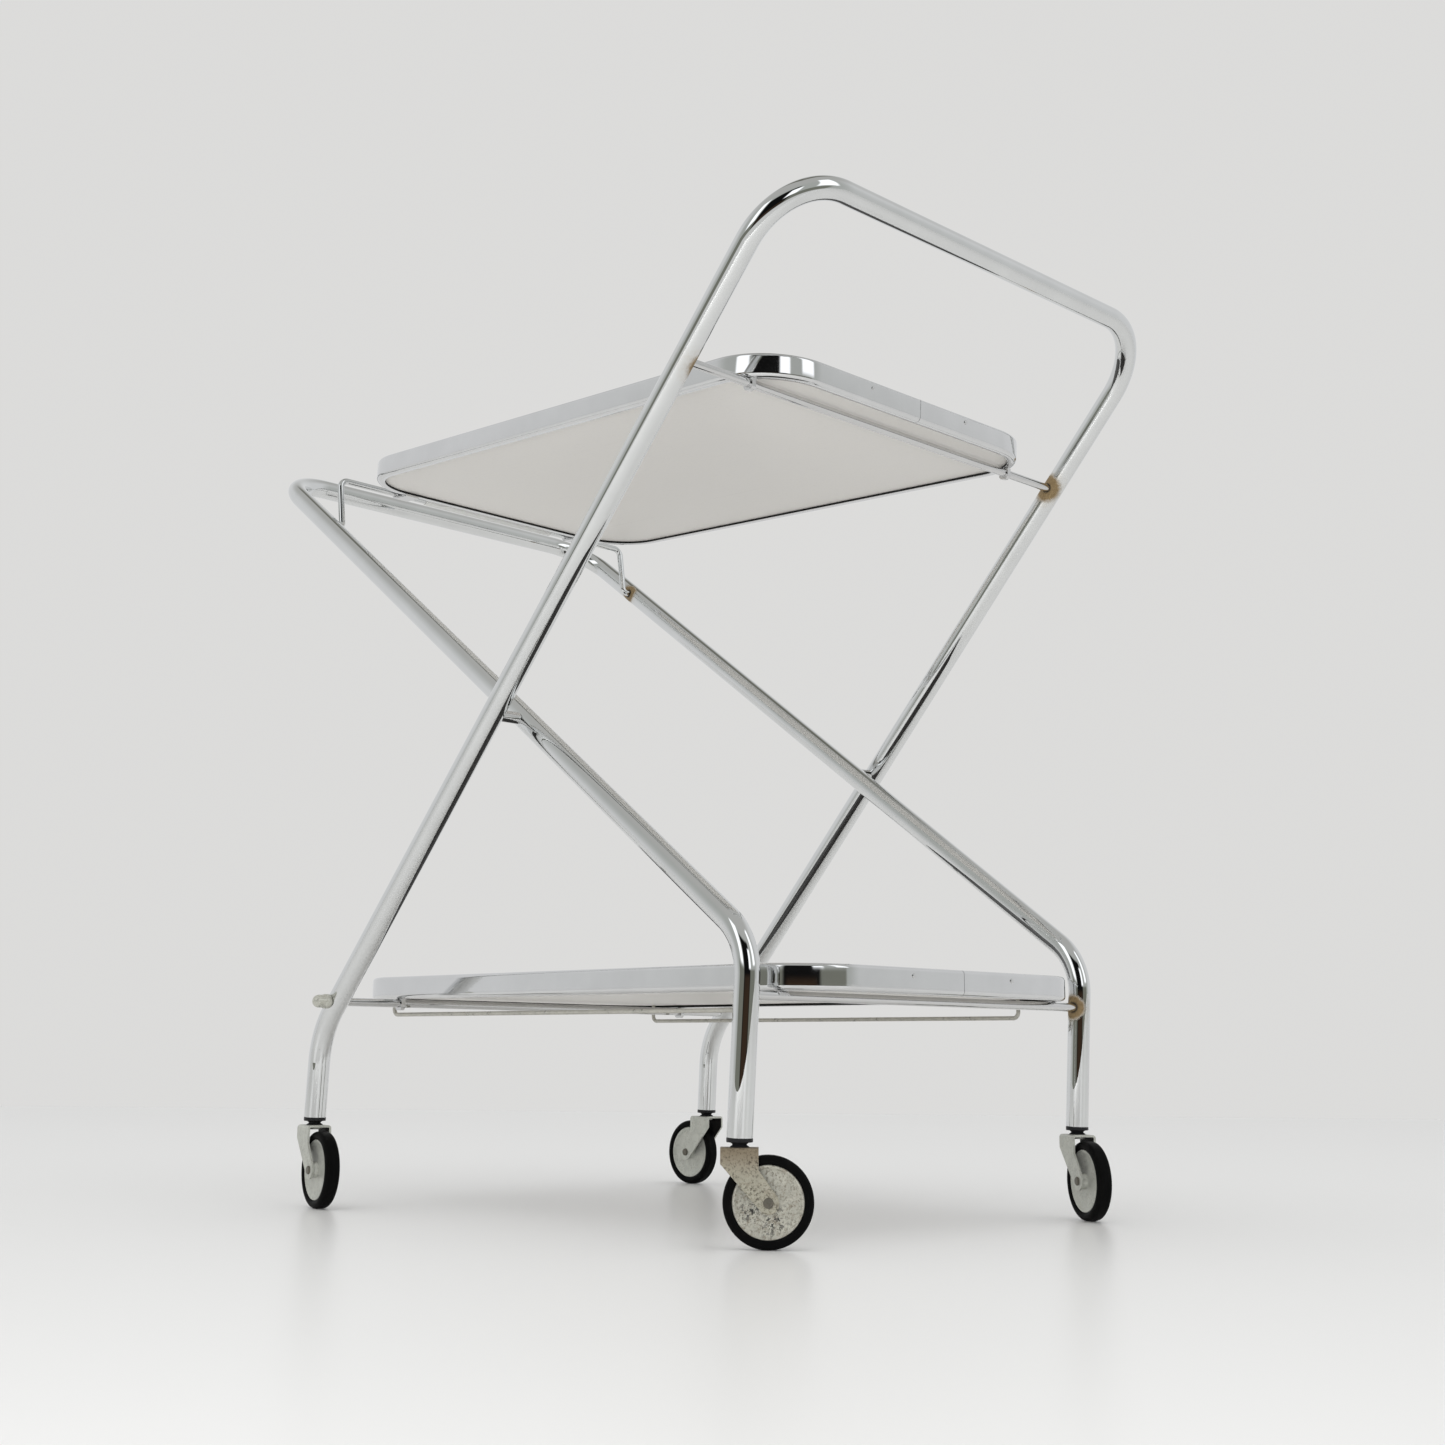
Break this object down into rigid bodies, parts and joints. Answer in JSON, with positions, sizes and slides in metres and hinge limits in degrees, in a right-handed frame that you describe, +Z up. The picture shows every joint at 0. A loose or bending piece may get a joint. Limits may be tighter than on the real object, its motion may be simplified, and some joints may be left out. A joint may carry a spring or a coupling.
{
  "type": "folding serving trolley",
  "caption": "Folding serving trolley: two crossed bent-tube frames, two rimmed trays, a low bar, a push bar and small swivel casters.",
  "frame": {"origin": "on the floor, below the middle of the bounding box", "axes": "+Z up, +X toward the push bar, +Y to the left of someone who pushes from the push bar's side"},
  "size_m": [0.7374, 0.496, 0.7469],
  "materials": {
    "chrome_tube": "bright chrome plate",
    "chrome_wire": "chrome-plated wire",
    "rim_chrome": "bright plated channel",
    "rivet_metal": "plated steel",
    "zinc_wire": "dull zinc plate",
    "white_plastic": "satin",
    "laminate": "cream melamine-faced hardboard",
    "black_plastic": "satin black",
    "pale_plastic": "satin",
    "rusty_zinc": "zinc plate with rust",
    "zinc": "dull zinc plate",
    "tyre_rubber": "matte black"
  },
  "bodies": {
    "wide_frame": {"handle_frame": "chrome_tube", "upper_tray_rod": "chrome_tube", "lower_tray_rod": "chrome_tube", "acorn_cap_near": "chrome_tube", "acorn_cap_far": "chrome_tube", "pivot_pin_near": "chrome_tube", "pivot_pin_far": "chrome_tube", "pivot_bush_near": "chrome_tube", "pivot_bush_far": "chrome_tube", "caster_socket_left": "black_plastic", "caster_socket_far": "black_plastic"},
    "narrow_frame": {"low_frame": "chrome_tube", "low_frame_rod": "chrome_tube", "caster_socket_near": "black_plastic", "caster_socket_right": "black_plastic"},
    "bail": {"bail_wire": "chrome_wire", "bail_sleeve": "white_plastic"},
    "upper_tray": {"upper_tray_clip_a": "zinc_wire", "upper_tray_clip_b": "zinc_wire", "upper_tray_panel": "laminate", "upper_tray_rim": "rim_chrome", "upper_tray_rivet_a": "rivet_metal", "upper_tray_rivet_b": "rivet_metal", "upper_tray_splice_strap": "rivet_metal", "bail_hook_a": "chrome_wire", "bail_hook_b": "chrome_wire"},
    "lower_tray": {"lower_tray_clip_a": "zinc_wire", "lower_tray_clip_b": "zinc_wire", "lower_tray_panel": "laminate", "lower_tray_rim": "rim_chrome", "lower_tray_rivet_a": "rivet_metal", "lower_tray_rivet_b": "rivet_metal", "lower_tray_splice_strap": "rivet_metal", "guide_wire_a": "zinc_wire", "guide_wire_b": "zinc_wire"},
    "caster_near": {"caster_fork_near": "rusty_zinc", "caster_stem_near": "zinc", "caster_axle_near": "zinc"},
    "wheel_near": {"wheel_disc_near": "rusty_zinc", "tyre_near": "tyre_rubber"},
    "caster_left": {"caster_fork_left": "zinc", "caster_stem_left": "zinc", "caster_axle_left": "zinc"},
    "wheel_left": {"wheel_disc_left": "zinc", "tyre_left": "tyre_rubber"},
    "caster_right": {"caster_fork_right": "zinc", "caster_stem_right": "zinc", "caster_axle_right": "zinc"},
    "wheel_right": {"wheel_disc_right": "zinc", "tyre_right": "tyre_rubber"},
    "caster_far": {"caster_fork_far": "zinc", "caster_stem_far": "zinc", "caster_axle_far": "zinc"},
    "wheel_far": {"wheel_disc_far": "zinc", "tyre_far": "tyre_rubber"}
  },
  "joints": [
    {"name": "fold", "type": "hinge", "parent": "wide_frame", "child": "narrow_frame", "pos_m": [0.03946, 0, 0.38501], "axis": [0, 1, 0], "range_deg": [0, 90]},
    {"name": "upper_tray_swing", "type": "hinge", "parent": "wide_frame", "child": "upper_tray", "pos_m": [0.25407, 0, 0.6215], "axis": [0, -1, 0], "range_deg": [0, 42.01]},
    {"name": "lower_tray_swing", "type": "hinge", "parent": "wide_frame", "child": "lower_tray", "pos_m": [-0.15929, 0, 0.166], "axis": [0, -1, 0], "range_deg": [0, 47.01]},
    {"name": "bail_swing", "type": "hinge", "parent": "narrow_frame", "child": "bail", "pos_m": [-0.27232, 0, 0.60824], "axis": [0, -1, 0], "range_deg": [0, 45.01]},
    {"name": "caster_swivel_near", "type": "hinge", "parent": "narrow_frame", "child": "caster_near", "pos_m": [0.286, -0.1908, 0.0656], "axis": [0, 0, 1], "continuous": true},
    {"name": "wheel_spin_near", "type": "hinge", "parent": "caster_near", "child": "wheel_near", "pos_m": [0.29972, -0.17708, 0.0305], "axis": [-0.7071, 0.7071, 0], "continuous": true},
    {"name": "caster_swivel_left", "type": "hinge", "parent": "wide_frame", "child": "caster_left", "pos_m": [-0.1848, -0.2244, 0.0656], "axis": [0, 0, 1], "continuous": true},
    {"name": "wheel_spin_left", "type": "hinge", "parent": "caster_left", "child": "wheel_left", "pos_m": [-0.16582, -0.22843, 0.0305], "axis": [0.2079, 0.9781, 0], "continuous": true},
    {"name": "caster_swivel_right", "type": "hinge", "parent": "narrow_frame", "child": "caster_right", "pos_m": [0.286, 0.1908, 0.0656], "axis": [0, 0, 1], "continuous": true},
    {"name": "wheel_spin_right", "type": "hinge", "parent": "caster_right", "child": "wheel_right", "pos_m": [0.30292, 0.18131, 0.0305], "axis": [0.4894, 0.8721, 0], "continuous": true},
    {"name": "caster_swivel_far", "type": "hinge", "parent": "wide_frame", "child": "caster_far", "pos_m": [-0.1848, 0.2244, 0.0656], "axis": [0, 0, 1], "continuous": true},
    {"name": "wheel_spin_far", "type": "hinge", "parent": "caster_far", "child": "wheel_far", "pos_m": [-0.2042, 0.22457, 0.0305], "axis": [-0.0087, -1, 0], "continuous": true}
  ],
  "couplings": [
    {"joint": "upper_tray_swing", "follows": "fold", "ratio": 0.46667},
    {"joint": "lower_tray_swing", "follows": "fold", "ratio": 0.52222},
    {"joint": "bail_swing", "follows": "fold", "ratio": 0.5}
  ]
}
